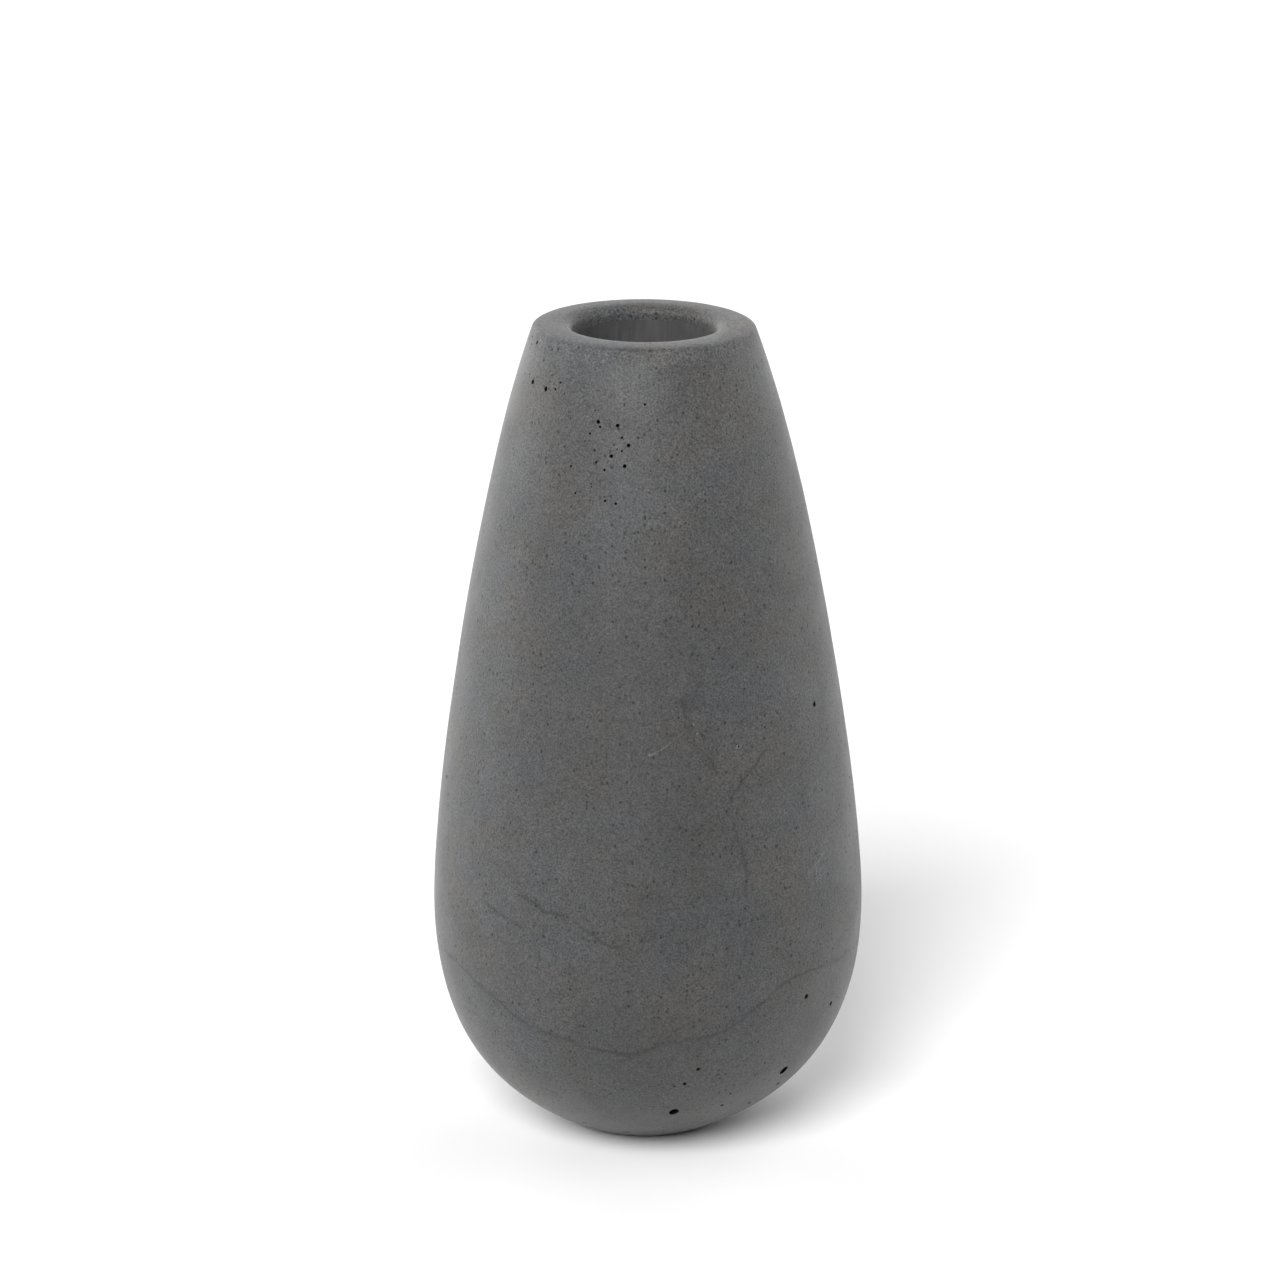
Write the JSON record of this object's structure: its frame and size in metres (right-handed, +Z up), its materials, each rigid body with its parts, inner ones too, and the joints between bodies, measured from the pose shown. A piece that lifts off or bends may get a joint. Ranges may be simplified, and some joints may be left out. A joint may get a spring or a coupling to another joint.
{
  "type": "vase",
  "caption": "Drop-shaped cast vase with a broad rounded lip, a straight tapered well lined with a thin sealing coat, and a soft round pad let into its base.",
  "frame": {"origin": "middle of the pad's underside, on the surface that the vase stands on", "axes": "+Z up the vase's turning axis, out of the mouth; X and Y are level, and the shape is the same all round"},
  "size_m": [0.0994, 0.0994, 0.19],
  "materials": {
    "concrete": "dry matt cast surface, lightly sanded, with pinholes and air-bubble holes",
    "sealer": "brushed-on clear sealer over the concrete, satin and a little darker than the bare casting",
    "felt": "pressed felt, matt and slightly fuzzy"
  },
  "bodies": {
    "root": {"vase_body": "concrete", "seal_coat": "sealer", "base_pad": "felt"}
  },
  "joints": []
}
